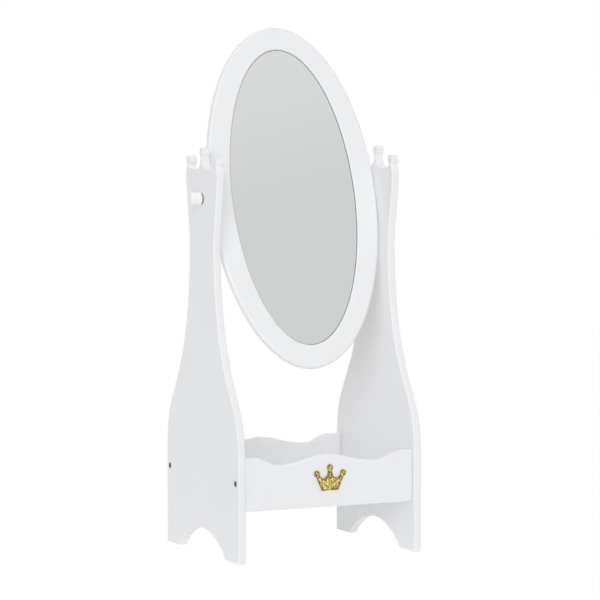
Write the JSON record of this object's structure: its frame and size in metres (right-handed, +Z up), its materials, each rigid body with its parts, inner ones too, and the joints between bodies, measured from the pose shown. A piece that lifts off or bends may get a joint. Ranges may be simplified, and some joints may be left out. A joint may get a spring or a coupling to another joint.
{
  "type": "kids dressing mirror with storage",
  "caption": "Free-standing child's dressing mirror: an oval mirror tilts between shaped side panels with ball-topped crowns, above an open storage box with a wavy rim.",
  "frame": {"origin": "on the floor, in the middle between the side panels and between the front and back feet", "axes": "+Z up, -Y towards the user in front of the mirror, +X to the right as seen from the front; the tilt axis runs along X"},
  "size_m": [0.4474, 0.349, 1.0371],
  "materials": {
    "white_paint": "satin white paint on board",
    "gold_glitter": "gold glitter",
    "dowel_wood": "bare beech",
    "bolt_metal": "dark zinc",
    "zinc": "bright zinc plate",
    "mirror_glass": "silvered glass",
    "hardboard": "bare hardboard",
    "nylon": "natural nylon",
    "dark_rubber": "matt",
    "knob_plastic": "semi-gloss"
  },
  "bodies": {
    "stand": {"left_side_panel": "white_paint", "right_side_panel": "white_paint", "front_panel": "white_paint", "back_panel": "white_paint", "bottom_board": "white_paint", "crown_ornament": "gold_glitter", "front_dowels": "dowel_wood", "back_dowels": "dowel_wood", "left_panel_bolts": "bolt_metal", "right_panel_bolts": "bolt_metal", "front_barrel_nuts": "zinc", "back_barrel_nuts": "zinc"},
    "mirror": {"oval_frame": "white_paint", "mirror_glass": "mirror_glass", "backing_board": "hardboard", "backing_screws": "zinc", "left_frame_insert": "zinc", "right_frame_insert": "zinc", "left_spacer_washer": "nylon", "right_spacer_washer": "nylon"},
    "left_washer": {"left_knob_washer": "dark_rubber"},
    "left_knob": {"left_knob": "knob_plastic", "left_stud": "zinc"},
    "right_washer": {"right_knob_washer": "dark_rubber"},
    "right_knob": {"right_knob": "knob_plastic", "right_stud": "zinc"}
  },
  "joints": [
    {"name": "mirror_tilt", "type": "hinge", "parent": "stand", "child": "mirror", "pos_m": [0, 0, 0.7], "axis": [1, 0, 0], "continuous": true},
    {"name": "left_knob_travel", "type": "slide", "parent": "mirror", "child": "left_washer", "axis": [-1, 0, 0], "range_m": [0, 0.003]},
    {"name": "left_knob_turn", "type": "hinge", "parent": "left_washer", "child": "left_knob", "pos_m": [-0.20015, 0, 0.7], "axis": [-1, 0, 0], "range_deg": [0, 1080]},
    {"name": "right_knob_travel", "type": "slide", "parent": "mirror", "child": "right_washer", "axis": [1, 0, 0], "range_m": [0, 0.003]},
    {"name": "right_knob_turn", "type": "hinge", "parent": "right_washer", "child": "right_knob", "pos_m": [0.20015, 0, 0.7], "axis": [1, 0, 0], "range_deg": [0, 1080]}
  ],
  "couplings": [
    {"joint": "left_knob_turn", "follows": "left_knob_travel", "rad_per_m": 6283.2},
    {"joint": "right_knob_turn", "follows": "right_knob_travel", "rad_per_m": 6283.2}
  ]
}
